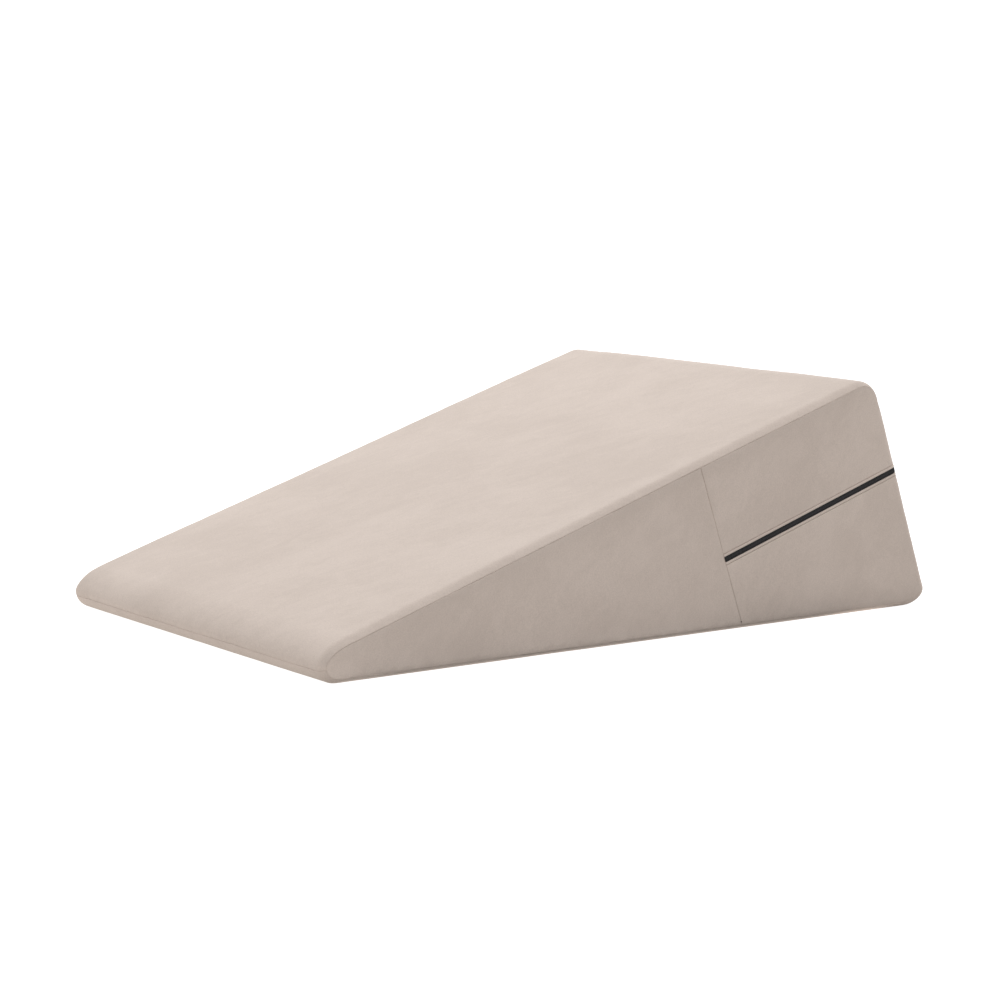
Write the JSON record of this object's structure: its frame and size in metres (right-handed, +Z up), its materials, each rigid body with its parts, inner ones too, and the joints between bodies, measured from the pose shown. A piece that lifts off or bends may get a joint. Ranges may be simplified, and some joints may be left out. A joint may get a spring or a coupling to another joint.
{
  "type": "wedge pillow",
  "caption": "Firm greige suede-finish wedge pillow with a rolled sewn edge and a black zip round its high back half.",
  "frame": {"origin": "under the middle of the pillow, on the surface that it rests on", "axes": "+Z up, +Y from the thin front edge to the high back, +X to the pillow's right side"},
  "size_m": [0.6123, 0.9058, 0.2928],
  "materials": {
    "suede": "brushed short nap",
    "tape": "woven",
    "coil": "satin",
    "dark_metal": "satin"
  },
  "bodies": {
    "root": {"cushion": "suede", "zip_tape": "tape", "zip_coil": "coil", "zip_slider": "dark_metal", "zip_pull": "dark_metal"}
  },
  "joints": []
}
